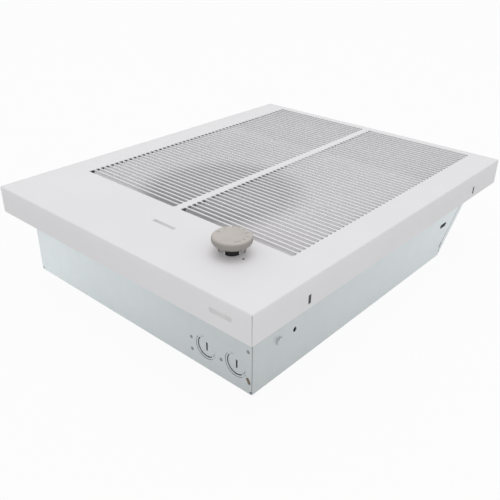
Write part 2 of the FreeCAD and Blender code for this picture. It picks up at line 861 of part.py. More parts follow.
def thermostat_screws():
    """Screw heads on the deck's front that hold the thermostat's ears."""
    return screw_heads([V(x, y, deck_z) for x, y in thermostat_ears()], V(0, 0, 1))


def stem(diameter, flat, low, high):
    """Round stem with a flat along one side of its upper half."""
    body = rod(V(knob_x, knob_y, low), V(0, 0, 1), diameter, high - low)
    shoulder = front_z + knob_gap
    edge = diameter / 2 - flat
    cut = block(knob_x + edge, knob_x + diameter, knob_y - diameter, knob_y + diameter, shoulder, high + 1)
    return body.cut(cut)


def stem_low():
    return deck_z - deck_gauge - stem_seat


def stem_high():
    return front_z + knob_gap + knob_thickness - knob_wall


def thermostat_shaft():
    """Stem from inside the thermostat up into the knob."""
    return stem(stem_diameter, stem_flat, stem_low(), stem_high())


def knob():
    """Disc that flares out from its foot, with a bevelled top edge, on two legs and bored for the stem."""
    low = front_z + knob_gap
    high = low + knob_thickness
    edge = knob_diameter / 2
    top = knob_top_diameter / 2
    foot = knob_foot_diameter / 2
    rim_low = low + knob_flare
    rim_high = high - knob_wall
    profile = [(0, low), (foot, low), (edge, rim_low), (edge, rim_high), (top, high), (0, high)]
    body = revolve(profile, V(knob_x, knob_y, 0))
    legs = []
    for turn in (0, 180):
        leg = block(knob_leg_radius - knob_leg_thickness / 2, knob_leg_radius + knob_leg_thickness / 2,
                    -knob_leg_width / 2, knob_leg_width / 2, front_z + knob_leg_gap, low)
        leg.rotate(V(0, 0, 0), V(0, 0, 1), knob_leg_angle + turn)
        legs.append(leg.translated(V(knob_x, knob_y, 0)))
    body = body.fuse(legs)
    socket = stem(stem_diameter + 2 * press_play, stem_flat, low - 1, stem_high() + press_play)
    return body.cut(socket).removeSplitter()


# Controls
def limit_control():
    """Cut-out on a flat ear plate, with two blade terminals."""
    x, y = limit_place()
    ear = block(x - limit_ear_width / 2, x + limit_ear_width / 2, y - limit_ear / 2, y + limit_ear / 2,
                deck_z, deck_z + limit_ear_gauge)
    half = limit_width / 2
    body = block(x - half, x + half, y - half, y + half, deck_z, deck_z + limit_height)
    high = deck_z + limit_height
    tabs = [terminal(x, y + s * limit_width / 4, high, high + terminal_length) for s in (-1, 1)]
    return ear.fuse([body] + tabs).removeSplitter()


def limit_screws():
    """Screw heads on the limit control's ears."""
    return screw_heads([V(x, y, deck_z + limit_ear_gauge) for x, y in limit_ears()], V(0, 0, 1))


def fan_delay_switch():
    """Moulded relay under the deck, between the element's two ends, with four blade terminals."""
    y = fan_y
    high = deck_z - deck_gauge
    low = high - delay_height
    case = block(knob_x - delay_width / 2, knob_x + delay_width / 2,
                 y - delay_length / 2, y + delay_length / 2, low, high)
    tabs = []
    for i in (-1, 1):
        for j in (-1, 1):
            x = knob_x + i * delay_width / 4
            t = y + j * delay_length / 4
            tabs.append(terminal(x, t, low - terminal_length, low))
    return case.fuse(tabs).removeSplitter()


def ground_place():
    return (partition_x + can_in) / 2, can_bottom + ground_screw_from_bottom


def ground_screw():
    """Head of the earthing screw on the floor of the wiring compartment."""
    x, y = ground_place()
    return screw_heads([V(x, y, can_gauge)], V(0, 0, 1))


nodes = {
    "front_cover": front_cover(),
    "can_wrapper": can_wrapper(),
    "can_bottom_end": can_bottom_end(),
    "can_top_end": can_top_end(),
    "cover_bracket_left": cover_bracket(-1),
    "cover_bracket_right": cover_bracket(1),
    "cover_clips": cover_clips(),
    "fan_deck": fan_deck(),
    "deck_screws": deck_screws(),
    "wiring_partition": wiring_partition(),
    "motor_bracket": motor_bracket(),
    "bracket_screws": bracket_screws(),
    "motor_stator": motor_stator(),
    "motor_coil": motor_coil(),
    "motor_rear_bridge": motor_bridge(stator_z, -1),
    "motor_front_bridge": motor_bridge(stator_top, 1),
    "motor_rotor": motor_rotor(),
    "motor_screws": motor_screws(),
    "fan_blade": fan_blade(),
    "fan_hub": fan_hub(),
    "heating_element": heating_element(),
    "element_fins": element_fins(),
    "element_bracket_left": element_bracket(-1),
    "element_bracket_right": element_bracket(1),
    "element_bushings": element_bushings(),
    "thermostat_body": thermostat_body(),
    "thermostat_screws": thermostat_screws(),
    "thermostat_shaft": thermostat_shaft(),
    "knob": knob(),
    "limit_control": limit_control(),
    "limit_screws": limit_screws(),
    "fan_delay_switch": fan_delay_switch(),
    "ground_screw": ground_screw(),
}

os.makedirs("parts", exist_ok=True)
for name, shape in nodes.items():
    shape.exportStep("parts/" + name + ".step")
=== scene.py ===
import math

import bmesh
import bpy
from mathutils import Matrix, Vector


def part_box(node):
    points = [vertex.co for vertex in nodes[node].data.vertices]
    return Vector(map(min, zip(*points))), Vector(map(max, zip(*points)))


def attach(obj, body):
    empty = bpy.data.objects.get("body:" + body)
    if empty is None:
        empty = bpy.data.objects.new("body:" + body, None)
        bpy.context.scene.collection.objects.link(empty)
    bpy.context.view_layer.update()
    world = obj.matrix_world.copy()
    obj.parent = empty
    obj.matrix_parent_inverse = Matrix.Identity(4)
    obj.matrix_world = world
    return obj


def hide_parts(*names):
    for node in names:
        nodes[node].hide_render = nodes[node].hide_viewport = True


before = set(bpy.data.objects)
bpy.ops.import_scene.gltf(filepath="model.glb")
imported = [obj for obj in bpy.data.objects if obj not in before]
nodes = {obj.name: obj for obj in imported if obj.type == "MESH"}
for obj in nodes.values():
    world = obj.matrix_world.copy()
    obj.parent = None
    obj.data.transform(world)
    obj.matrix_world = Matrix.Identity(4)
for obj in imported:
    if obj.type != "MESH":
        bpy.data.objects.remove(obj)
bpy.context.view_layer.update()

mm = 0.001
x_axis = Vector((1.0, 0.0, 0.0))
y_axis = Vector((0.0, 1.0, 0.0))
z_axis = Vector((0.0, 0.0, 1.0))


def box_in_mm(node):
    """Lowest and highest corner of a CAD node, in millimetres to the hundredth."""
    return [[round(value / mm, 2) for value in corner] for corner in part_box(node)]


# Camera, from the photograph: metres and degrees, the sensor in millimetres, the lens in sensor widths
camera_eye = Vector((0.4867, -0.5790, 0.4128))
camera_forward = Vector((-0.5812, 0.6599, -0.4763))
camera_roll = 0.63
focal_widths = 1.261
sensor_width = 36.0
camera_near = 0.01
camera_far = 50.0

# Floor and light: metres, watts, and levels of brightness
floor_reach = 6.0
floor_drop = 0.0005
paper_level = 0.75
paper_white_share = 0.93
horizon_level = 0.60
zenith_level = 0.88
lamp_target = Vector((0.0, 0.0, 0.1))
key_place = Vector((2.60, -2.90, 2.20))
key_size = 2.0
key_power = 20.0
overhead_place = Vector((-0.3, 0.5, 4.1))
overhead_size = 2.5
overhead_power = 24.0

# Colours, linear
white = (1.0, 1.0, 1.0)
enamel_white = (0.80, 0.79, 0.805)
zinc_pale = (0.88, 0.94, 0.955)
zinc_dark = (0.80, 0.86, 0.875)
frost_pale = (0.86, 0.865, 0.87)
frost_dark = (0.80, 0.805, 0.81)
warm_grey = (0.52, 0.485, 0.45)
mark_grey = (0.39, 0.365, 0.335)
moulded_black = (0.012, 0.012, 0.013)
screw_grey = (0.52, 0.52, 0.50)
cast_grey = (0.62, 0.62, 0.62)
steel_grey = (0.45, 0.45, 0.46)
spring_grey = (0.06, 0.06, 0.062)
weld_grey = (0.30, 0.31, 0.31)
# Dark plates in the seams: painted shadow
joint_shadow_grey = (0.04, 0.04, 0.04)
burnt_brown = (0.20, 0.15, 0.11)
face_plate_grey = (0.60, 0.60, 0.61)
flange_plate_grey = (0.70, 0.69, 0.695)
lamination_grey = (0.36, 0.36, 0.36)
sheath_grey = (0.62, 0.62, 0.61)
aluminium = (0.80, 0.81, 0.82)
coil_tape = (0.70, 0.66, 0.55)

# Darker tones, as factors of the colour, and how far some of them show
cloud_tone = 0.975
# The grille's lips below the face: painted shade, as a factor of the enamel's colour
painted_shade_tone = 0.52
knob_mottle_tone = 0.93
# The knob's side: painted shade, as a factor of its colour
knob_side_shade_tone = 0.60
mottle_tone = 0.86
grain_tone = 0.85
grain_share = 0.12
spangle_share = 0.1

# Painted light and shade on the zinc, palest towards the can's left side, top end and front: what each
# direction adds, and the grey level at each sum
painted_light_left = 0.75
painted_light_upward = 0.6
painted_light_forward = 0.2
painted_light_levels = ((0.0, 0.64), (0.35, 0.79), (0.72, 1.0))

# Textures: the range that a noise mostly keeps to, the zinc's spangles per metre, and the strength of relief
noise_low = 0.3
noise_high = 0.7
spangle_scale = 85.0
bump_strength = 0.5

# Cover, millimetres and degrees
cover_low, cover_high = box_in_mm("front_cover")
cover_x, cover_y, face_z = cover_high
flange_foot = cover_low[2]
cover_gauge = 1.0
cover_bend = 1.6
bend_angles = (30.0, 60.0, 90.0)
seam_angles = (13.0, 26.0, 64.0, 77.0)
clip_slots = ((-173.5, -169.1), (178.6, 183.0))
clip_slot_top = 99.0
clip_slot_foot = 89.0

# Grille, millimetres and degrees, with each lip row's offset back and down from the slit's far edge
grille_columns = ((-165.0, -5.0), (5.0, 165.0))
first_slit = -149.0
mouth_extra = 2.0
louvre_pitch = 7.5
louvre_count = 52
louvre_slit = 5.7
slit_round = 2.4
slit_round_angles = (0.0, 20.0, 45.0, 67.0, 90.0)
lip_inset = 0.99 * slit_round
lip_rows = ((0.35, 1.8), (1.0, 3.1), (2.1, 4.1))

# Painted shade on the grille's lips, darker where the fan opening and the top end lie behind the slits:
# shares, and the places in millimetres between which it comes or goes
painted_shade_centre = (0.0, -80.0, 0.0)
painted_shade_rim = (78.0, 108.0)
far_painted_shade = 0.68
far_painted_shade_fall = (-150.0, -85.0)
top_painted_shade = 0.32
top_painted_shade_rise = (108.0, 122.0)
painted_shade_depth = (1.2, 0.3)
painted_shade_side = (168.0, 175.0)
painted_shade_end = (240.0, 245.0)

# Knob, over the thermostat's middle, and the cover's two holes with the mesh lines round them, millimetres
thermostat_low, thermostat_high = box_in_mm("thermostat_body")
knob_x = (thermostat_low[0] + thermostat_high[0]) / 2
knob_y = (thermostat_low[1] + thermostat_high[1]) / 2
knob_corners = box_in_mm("knob")
knob_leg_low = knob_corners[0][2]
knob_high = knob_corners[1][2]
knob_low = 126.5
knob_radius = 20.5
knob_hub_radius = 4.0
dish_radius = 12.2
dish_edge = 0.5
dish_depth = 0.3
shoulder_round = (2.6, 3.4)
belly_round = (6.0, 4.9)
round_steps = 5
# Depths below the knob's top over which its painted shade comes in
knob_side_shade_depth = (2.2, 0.3)
cover_hole = 17.0
pointer_hole = 3.0
pointer_x = 133.0
pointer_y = -187.0
hole_rows = (-200.0, -174.0)
hole_lines = (102.0, 130.0, 136.0)
plug_clearance = 0.05
plug_section = ((0.2, 0.15), (0.0, 0.3), (0.0, 3.0))

# Knob's legs: turns in degrees, and rows of height, distance from the axis, half width and half thickness
leg_turns = (38.0, 218.0)
leg_rows = (
    (knob_low + 0.4, 12.9, 2.2, 1.2),
    (124.0, 12.9, 2.0, 1.1),
    (121.0, 12.8, 1.9, 1.0),
    (119.0, 12.7, 1.8, 1.0),
    (knob_leg_low, 12.6, 1.4, 0.7),
)

# Knob's strokes: turn in degrees, inner and outer radius, and width in degrees
start_bar = (196.0, 13.0, 16.6, 9.0)
tick_turns = (160.0, 130.0, 108.0, 85.0)
tick_size = (15.0, 16.8, 5.0)
stroke_turns = (57.0, 28.0, 3.0)
stroke_size = (13.0, 17.0, 6.0)
end_arc = (-27.0, 14.4, 16.4, 26.0)
stroke_sink = 0.05
stroke_rise = 0.08
stroke_step = 3.0

# Can and its end panel, millimetres
can_x = box_in_mm("can_wrapper")[1][0]
panel_low, panel_high = box_in_mm("can_bottom_end")
panel_x = panel_high[0]
panel_y = panel_low[1]
panel_foot = panel_low[2]
panel_top = panel_high[2]
panel_lap = panel_high[1] - panel_low[1]
panel_gauge = 0.9
corner_relief = 2.5

# Knockouts, millimetres, with the numbers of the ring's stretches that stay joined
knockout_x = (118.4, 159.0)
knockout_z = 26.4
knockout_margin = 3.0
ring_radius = 14.3
ring_gap = 0.35
ring_step = 0.5
disc_radius = 11.4
disc_gap = 0.8
disc_step = 1.4
joined_stretches = (11, 12, 35, 36)
pry_half_width = 1.1
pry_half_length = 5.0

# Top end, millimetres: outlines seen from the side, the sides' planes, and the section of the closing strip
rim_outline = (
    (155.5, 4.0), (155.5, 10.5), (161.0, 19.8), (223.1, 80.3),
    (223.1, 105.0), (230.7, 105.0), (230.7, 77.1),
)
rim_planes = (179.9, 180.9)
# A dark plate in the groove beside the wrapper's edge: painted shadow
joint_shadow_outline = (
    (154.1, 2.5), (154.1, 15.0), (221.7, 80.9), (221.7, 105.0),
    (223.0, 105.0), (223.0, 80.3), (161.0, 19.8), (155.4, 10.5), (155.4, 3.0),
)
joint_shadow_planes = (179.85, 180.05)
strip_section = (
    (231.2, 99.0), (231.2, 106.2), (231.8, 107.0), (242.4, 107.0), (243.0, 107.6), (243.0, 115.4),
)
strip_lines = (-170.0, -5.0, 5.0, 170.0)
strip_gauge = 0.8

# Weld spots on the end panel, millimetres, with each ring's radius and rise
weld_spots = ((97.5, 29.0), (98.3, 14.6), (139.5, 22.0), (175.0, 49.5))
burnt_spots = ((175.6, 15.0), (174.6, 16.6), (176.4, 13.2))
weld_rings = ((2.1, 0.02), (1.7, 0.12), (1.2, 0.1), (0.6, 0.04))

# Plates, millimetres: corner, length and height, and the rows of inset and rise that ease their edges
face_plate_corner = (4.0, -190.5, face_z)
face_plate_size = (33.0, 4.5)
flange_plate_corner = (151.5, -cover_y, 98.0)
flange_plate_size = (27.0, 4.8)
# Dark strip at the can's corner seam: painted shadow
corner_joint_shadow_corner = (179.9, panel_y, 3.0)
corner_joint_shadow_size = (0.4, 84.0)
plate_rows = ((0.0, 0.0), (0.0, 0.12), (0.15, 0.2))

# Meshes: points round circles, the angle where a hole's circle starts, corners in order, and crease angles
hole_points = 48
knob_points = 64
weld_points = 16
plug_points = 24
hole_start = math.radians(225.0)
square_corners = ((-1, -1), (1, -1), (1, 1), (-1, 1))
usual_crease = 40.0
panel_crease = 30.0
knob_crease = 35.0


# Camera and studio
def camera():
    """Camera with the photograph's place, direction and field of view."""
    data = bpy.data.cameras.new("camera")
    data.sensor_width = sensor_width
    data.lens = sensor_width * focal_widths
    data.clip_start = camera_near
    data.clip_end = camera_far
    eye = bpy.data.objects.new("camera", data)
    turn = camera_forward.to_track_quat("-Z", "Y").to_matrix().to_4x4()
    roll = Matrix.Rotation(math.radians(camera_roll), 4, "Z")
    eye.matrix_world = Matrix.Translation(camera_eye) @ turn @ roll
    bpy.context.scene.collection.objects.link(eye)
    bpy.context.scene.camera = eye


def studio():
    """White room: a sky that is brighter overhead, a paper floor and two lamps."""
    scene = bpy.context.scene
    scene.view_settings.view_transform = "Standard"
    scene.world = sky()
    mesh = bpy.data.meshes.new("floor")
    edit = bmesh.new()
    bmesh.ops.create_grid(edit, x_segments=1, y_segments=1, size=floor_reach)
    edit.to_mesh(mesh)
    edit.free()
    floor = bpy.data.objects.new("floor", mesh)
    scene.collection.objects.link(floor)
    floor.location.z = -floor_drop
    floor.data.materials.append(floor_paper())
    area_light("key", key_place, key_size, key_power)
    area_light("overhead", overhead_place, overhead_size, overhead_power)


def sky():
    """World that looks white and lights things by its level at each height."""
    world = bpy.data.worlds.new("studio")
    world.use_nodes = True
    tree = world.node_tree
    back = tree.nodes["Background"]
    back.inputs["Color"].default_value = (*white, 1.0)
    level = tree.nodes.new("ShaderNodeMapRange")
    tree.links.new(sky_level(tree), level.inputs["To Min"])
    level.inputs["To Max"].default_value = 1.0
    tree.links.new(seen_directly(tree), level.inputs["Value"])
    tree.links.new(level.outputs["Result"], back.inputs["Strength"])
    return world


def sky_level(tree):
    """Light of the sky by height, from the horizon to overhead."""
    direction = tree.nodes.new("ShaderNodeTexCoord")
    apart = tree.nodes.new("ShaderNodeSeparateXYZ")
    tree.links.new(direction.outputs["Generated"], apart.inputs[0])
    level = tree.nodes.new("ShaderNodeMapRange")
    level.inputs["To Min"].default_value = horizon_level
    level.inputs["To Max"].default_value = zenith_level
    tree.links.new(apart.outputs["Z"], level.inputs["Value"])
    return level.outputs["Result"]


def seen_directly(tree):
    """1 for rays from the camera and for reflected or refracted ones, 0 for the rays that light things."""
    rays = tree.nodes.new("ShaderNodeLightPath")
    value = rays.outputs["Is Camera Ray"]
    for name in ("Is Glossy Ray", "Is Transmission Ray"):
        most = tree.nodes.new("ShaderNodeMath")
        most.operation = "MAXIMUM"
        tree.links.new(value, most.inputs[0])
        tree.links.new(rays.outputs[name], most.inputs[1])
        value = most.outputs[0]
    return value


def floor_paper():
    """White sweep: the camera and reflections see it white, and it bounces light as paper does."""
    material = bpy.data.materials.new("floor_paper")
    material.use_nodes = True
    tree = material.node_tree
    tree.nodes.clear()
    out = tree.nodes.new("ShaderNodeOutputMaterial")
    paper = tree.nodes.new("ShaderNodeBsdfDiffuse")
    paper.inputs["Color"].default_value = (*shade(white, paper_level), 1.0)
    glow = tree.nodes.new("ShaderNodeEmission")
    glow.inputs["Color"].default_value = (*white, 1.0)
    share = tree.nodes.new("ShaderNodeMath")
    share.operation = "MULTIPLY"
    share.inputs[1].default_value = paper_white_share
    tree.links.new(seen_directly(tree), share.inputs[0])
    mix = tree.nodes.new("ShaderNodeMixShader")
    tree.links.new(share.outputs[0], mix.inputs["Fac"])
    tree.links.new(paper.outputs[0], mix.inputs[1])
    tree.links.new(glow.outputs[0], mix.inputs[2])
    tree.links.new(mix.outputs[0], out.inputs["Surface"])
    return material


def area_light(name, place, size, power):
    """Square lamp that faces the heater."""
    data = bpy.data.lights.new(name, "AREA")
    data.size = size
    data.energy = power
    lamp = bpy.data.objects.new(name, data)
    lamp.location = place
    lamp.rotation_euler = (lamp_target - place).to_track_quat("-Z", "Y").to_euler()
    bpy.context.scene.collection.objects.link(lamp)


# Materials
class Shader:
    """Node tree of one material, with short calls for the nodes that the materials share."""

    def __init__(self, name):
        self.material = bpy.data.materials.new(name)
        self.material.use_nodes = True
        self.tree = self.material.node_tree
        self.surface = self.tree.nodes["Principled BSDF"]
        self.place = self.add("ShaderNodeTexCoord").outputs["Object"]

    def add(self, kind, **values):
        """New node with some of its settings."""
        node = self.tree.nodes.new(kind)
        for key, value in values.items():
            setattr(node, key, value)
        return node

    def link(self, source, target):
        """Wire from an output to an input."""
        self.tree.links.new(source, target)

    def axes(self):
        """Object coordinates as three values."""
        apart = self.add("ShaderNodeSeparateXYZ")
        self.link(self.place, apart.inputs[0])
        return apart.outputs

    def stretch(self, scale):
        """Object coordinates scaled per axis."""
        mapping = self.add("ShaderNodeMapping")
        mapping.inputs["Scale"].default_value = scale
        self.link(self.place, mapping.inputs["Vector"])
        return mapping.outputs["Vector"]

    def noise(self, scale, detail=3.0, roughness=0.55, vector=None):
        """Cloudy value between 0 and 1."""
        node = self.add("ShaderNodeTexNoise")
        node.inputs["Scale"].default_value = scale
        node.inputs["Detail"].default_value = detail
        node.inputs["Roughness"].default_value = roughness
        self.link(vector or self.place, node.inputs["Vector"])
        return node.outputs["Fac"]

    def ramp(self, source, stops):
        """Colours at positions along a 0 to 1 value."""
        node = self.add("ShaderNodeValToRGB")
        points = node.color_ramp.elements
        while len(points) < len(stops):
            points.new(0.5)
        for point, (position, colour) in zip(points, stops):
            point.position = position
            point.color = (*colour, 1.0)
        self.link(source, node.inputs["Fac"])
        return node.outputs["Color"]

    def two_tone(self, noise, dark, pale):
        """Colour that goes from dark to pale over a noise's range."""
        return self.ramp(noise, [(noise_low, dark), (noise_high, pale)])

    def span(self, source, low, high, source_low=noise_low, source_high=noise_high):
        """Value that goes from low to high as its source crosses a range, and stays there beyond it."""
        node = self.add("ShaderNodeMapRange")
        node.inputs["From Min"].default_value = source_low
        node.inputs["From Max"].default_value = source_high
        node.inputs["To Min"].default_value = low
        node.inputs["To Max"].default_value = high
        self.link(source, node.inputs["Value"])
        return node.outputs["Result"]

    def along(self, distance, low, high, start, stop):
        """Value that goes from low to high between two places in millimetres."""
        return self.span(distance, low, high, start * mm, stop * mm)

    def combine(self, operation, *sources):
        """Arithmetic on one or two values."""
        node = self.add("ShaderNodeMath", operation=operation)
        for source, socket in zip(sources, node.inputs):
            self.link(source, socket)
        return node.outputs[0]

    def blend(self, share, first, second, kind="MIX"):
        """Mix of two colours by a share; each of the three is a value or a node's output."""
        node = self.add("ShaderNodeMix", data_type="RGBA", blend_type=kind)
        for value, socket in ((share, node.inputs[0]), (first, node.inputs[6]), (second, node.inputs[7])):
            if isinstance(value, bpy.types.NodeSocket):
                self.link(value, socket)
            elif isinstance(value, tuple):
                socket.default_value = (*value, 1.0)
            else:
                socket.default_value = value
        return node.outputs[2]

    def bump(self, height, distance):
        """Fine relief from a value, its height in metres."""
        node = self.add("ShaderNodeBump")
        node.inputs["Strength"].default_value = bump_strength
        node.inputs["Distance"].default_value = distance
        self.link(height, node.inputs["Height"])
        self.link(node.outputs["Normal"], self.surface.inputs["Normal"])

    def colour(self, source):
        """Wire to the surface's colour."""
        self.link(source, self.surface.inputs["Base Color"])

    def roughness(self, source):
        """Wire to the surface's roughness."""
        self.link(source, self.surface.inputs["Roughness"])

    def set(self, **values):
        """Uniform values of the surface, then the material itself."""
        for key, value in values.items():
            self.surface.inputs[key.replace("_", " ")].default_value = value
        return self.material


def shade(colour, factor):
    """Colour made darker by a factor."""
    return tuple(channel * factor for channel in colour)


def enamel():
    """Satin baked enamel: a faint cloudiness, a fine orange peel, and painted shade on the grille's lips."""
    s = Shader("white_enamel")
    base = s.two_tone(s.noise(scale=9.0, detail=2.0), shade(enamel_white, cloud_tone), enamel_white)
    # Painted shade: the lips below the face turn grey over the fan opening and the top end
    s.colour(s.blend(lip_painted_shade(s), base, shade(enamel_white, painted_shade_tone)))
    s.roughness(s.span(s.noise(scale=60.0), low=0.46, high=0.56))
    s.bump(s.noise(scale=900.0, detail=2.0), distance=0.00004)
    return s.set(Specular_IOR_Level=0.3)


def lip_painted_shade(s):
    """Share of painted shade on the lips: most in front of the fan, a little at the top end, none on the
    face.
    """
    x, y, z = s.axes()
    from_fan = s.add("ShaderNodeVectorMath", operation="DISTANCE")
    from_fan.inputs[1].default_value = [value * mm for value in painted_shade_centre]
    s.link(s.stretch((1.0, 1.0, 0.0)), from_fan.inputs[0])
    round_fan = s.along(from_fan.outputs["Value"], 1.0, 0.0, *painted_shade_rim)
    fan_painted_shade = s.combine("MULTIPLY", round_fan, s.along(y, 1.0, far_painted_shade, *far_painted_shade_fall))
    top_end_painted_shade = s.along(y, 0.0, top_painted_shade, *top_painted_shade_rise)
    painted_shade = s.combine("MAXIMUM", fan_painted_shade, top_end_painted_shade)
    deep, shallow = painted_shade_depth
    below_face = s.along(z, 1.0, 0.0, face_z - deep, face_z - shallow)
    between_sides = s.along(s.combine("ABSOLUTE", x), 1.0, 0.0, *painted_shade_side)
    before_end = s.along(y, 1.0, 0.0, *painted_shade_end)
    for limit in (below_face, between_sides, before_end):
        painted_shade = s.combine("MULTIPLY", painted_shade, limit)
    return painted_shade


def galvanised(name, pale, dark, metallic):
    """Hot-dip zinc: frosted spangles, a rolled grain, dull patches, and painted light that pales the tone
    across the can.
    """
    s = Shader(name)
    cells = s.add("ShaderNodeTexVoronoi", feature="F1")
    cells.inputs["Scale"].default_value = spangle_scale
    s.link(s.place, cells.inputs["Vector"])
    spangle = s.add("ShaderNodeRGBToBW")
    s.link(cells.outputs["Color"], spangle.inputs["Color"])
    patch = s.noise(scale=7.0, detail=4.0, roughness=0.6)
    grain = s.noise(scale=120.0, roughness=0.6, vector=s.stretch((1.0, 1.0, 0.06)))
    painted_lighting = s.ramp(painted_light(s), [(position, shade(white, level)) for position, level in painted_light_levels])
    base = s.two_tone(patch, dark, pale)
    base = s.blend(spangle_share, base, spangle.outputs["Val"], "SOFT_LIGHT")
    # Painted light and shade: the colour is darker towards the can's lower right corner at the back
    base = s.blend(1.0, base, painted_lighting, "MULTIPLY")
    s.colour(s.blend(s.span(grain, low=0.0, high=grain_share), base, shade(dark, grain_tone)))
    s.roughness(s.span(patch, low=0.34, high=0.5))
    s.bump(grain, distance=0.00003)
    return s.set(Metallic=metallic)


def painted_light(s):
    """Share of painted light: 0 at the can's lower right corner at the back, rising towards its left side,
    top end and front.
    """
    x, y, z = s.axes()
    left = s.along(x, 0.0, painted_light_left, can_x, -can_x)
    upward = s.along(y, 0.0, painted_light_upward, panel_y, -panel_y)
    forward = s.along(z, 0.0, painted_light_forward, 0.0, flange_foot)
    return s.combine("ADD", forward, s.combine("ADD", left, upward))


def moulded_knob():
    """Beige moulding, with painted shade round its textured side: darker there than on its top."""
    s = Shader("beige_plastic")
    deep, shallow = knob_side_shade_depth
    # Painted shade: the side below the top darkens as if lit from above
    side = s.along(s.axes()["Z"], 1.0, 0.0, knob_high - deep, knob_high - shallow)
    base = s.two_tone(s.noise(scale=40.0), shade(warm_grey, knob_mottle_tone), warm_grey)
    s.colour(s.blend(side, base, shade(warm_grey, knob_side_shade_tone)))
    s.roughness(s.span(s.noise(scale=150.0), low=0.40, high=0.52))
    s.bump(s.noise(scale=700.0, detail=2.0), distance=0.00005)
    return s.material


def plain(name, colour, metallic, rough):
    """Surface with a mottled colour and a fine grain, for the smaller pieces."""
    s = Shader(name)
    s.colour(s.two_tone(s.noise(scale=40.0), shade(colour, mottle_tone), colour))
    s.roughness(s.span(s.noise(scale=150.0), low=rough - 0.05, high=rough + 0.07))
    s.bump(s.noise(scale=400.0, detail=2.0), distance=0.00003)
    return s.set(Metallic=metallic)


def dress(material, *names):
    """Material on CAD nodes."""
    for name in names:
        for slot in nodes[name].material_slots:
            slot.material = material


# Meshes
class Sheet:
    """Mesh in the making, in millimetres."""

    def __init__(self):
        self.bm = bmesh.new()

    def point(self, x, y, z):
        """New point."""
        return self.bm.verts.new((x * mm, y * mm, z * mm))

    def face(self, *corners):
        """New face through some points."""
        self.bm.faces.new(corners)

    def strip(self, row, other, skip=()):
        """Quads between two rows of points of equal length, without the numbered ones."""
        for i in range(len(row) - 1):
            if i not in skip:
                self.face(row[i], row[i + 1], other[i + 1], other[i])

    def strips(self, rows):
        """Quads from each row of points to the next."""
        for row, other in zip(rows, rows[1:]):
            self.strip(row, other)

    def ring(self, row, other, skip=()):
        """Quads between two closed rows of points, without the numbered ones."""
        self.strip(row + row[:1], other + other[:1], skip)

    def rings(self, rows):
        """Quads from each closed row of points to the next."""
        for row, other in zip(rows, rows[1:]):
            self.ring(row, other)

    def solid(self, rows):
        """Closed form through closed rows of points, with a face at each end."""
        self.rings(rows)
        self.face(*reversed(rows[0]))
        self.face(*rows[-1])

    def fan(self, centre, row):
        """Triangles from a point to each stretch of a row."""
        for i in range(len(row) - 1):
            self.face(centre, row[i], row[i + 1])

    def circle(self, centre, across, upward, radius, count, start=0.0):
        """Points round a circle in the plane of two unit vectors."""
        points = []
        for i in range(count):
            angle = start + 2 * math.pi * i / count
            spoke = math.cos(angle) * across + math.sin(angle) * upward
            points.append(self.point(*(Vector(centre) + radius * spoke)))
        return points

    def holed(self, corners, circle):
        """Flat face between four corners and a circle whose points start at the first corner's angle."""
        quarter = len(circle) // 4
        for i in range(4):
            arc = [circle[(i * quarter + k) % len(circle)] for k in range(quarter + 1)]
            self.face(corners[i], corners[(i + 1) % 4], *reversed(arc))

    def outwards(self, direction=None):
        """Turn the faces outwards, those of an open sheet so that its largest one looks in a direction."""
        bmesh.ops.recalc_face_normals(self.bm, faces=self.bm.faces)
        if direction is None:
            return
        largest = max(self.bm.faces, key=lambda face: face.calc_area())
        if largest.normal.dot(direction) < 0:
            bmesh.ops.reverse_faces(self.bm, faces=self.bm.faces)

    def done(self, name, material, body, replaces=(), gauge=0.0, crease=usual_crease):
        """Finished piece on a body; a gauge thickens a sheet inwards from its outer face."""
        mesh = bpy.data.meshes.new(name)
        self.bm.to_mesh(mesh)
        self.bm.free()
        piece = bpy.data.objects.new(name, mesh)
        bpy.context.scene.collection.objects.link(piece)
        if gauge:
            thick = piece.modifiers.new("gauge", "SOLIDIFY")
            thick.thickness = gauge * mm
            thick.offset = -1.0
            thick.use_even_offset = True
            thickened = piece.evaluated_get(bpy.context.evaluated_depsgraph_get())
            made = bpy.data.meshes.new_from_object(thickened)
            piece.modifiers.clear()
            piece.data = made
            bpy.data.meshes.remove(mesh)
        piece.data.materials.clear()
        piece.data.materials.append(material)
        piece.data.polygons.foreach_set("use_smooth", [True] * len(piece.data.polygons))
        piece.data.set_sharp_from_angle(angle=math.radians(crease))
        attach(piece, body)
        if replaces:
            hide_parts(*replaces)


# Front cover
def slit_edges(number):
    """Near and far edge of a slit; the first slit has a wider mouth."""
    near = first_slit + number * louvre_pitch
    far = near + louvre_slit
    if number == 0:
        near -= mouth_extra
    return near, far


def slit_at(y):
    """Edges of the slit that a level lies in or borders, or none."""
    for number in range(louvre_count):
        near, far = slit_edges(number)
        if near <= y <= far:
            return near, far
    return None


def face_rows():
    """Levels up the face, in order."""
    levels = {cover_bend - cover_y, *hole_rows, cover_y - cover_bend}
    for edges in clip_slots:
        levels.update(edges)
    for number in range(louvre_count):
        levels.update(slit_edges(number))
    return sorted(levels)


def face_columns():
    """Lines across the face: x, and how far each is into a slit's rounded end, or none outside the slits."""
    lines = [(x, None) for x in (cover_bend - cover_x, cover_x - cover_bend)]
    for left, right in grille_columns:
        for angle in slit_round_angles:
            inset = slit_round * (1 - math.cos(math.radians(angle)))
            lines.append((left + inset, inset))
            lines.append((right - inset, inset))
    lines.extend((x, slit_round) for x in hole_lines)
    return sorted(lines, key=lambda line: line[0])


def rounded(y, slit, inset):
    """Level of a slit's edge, drawn in towards the slit's middle line at its rounded ends."""
    near, far = slit
    middle = (near + far) / 2
    half = (far - near) / 2
    drawn = half - slit_round + math.sqrt(slit_round ** 2 - (slit_round - inset) ** 2)
    return middle + (y - middle) * drawn / half


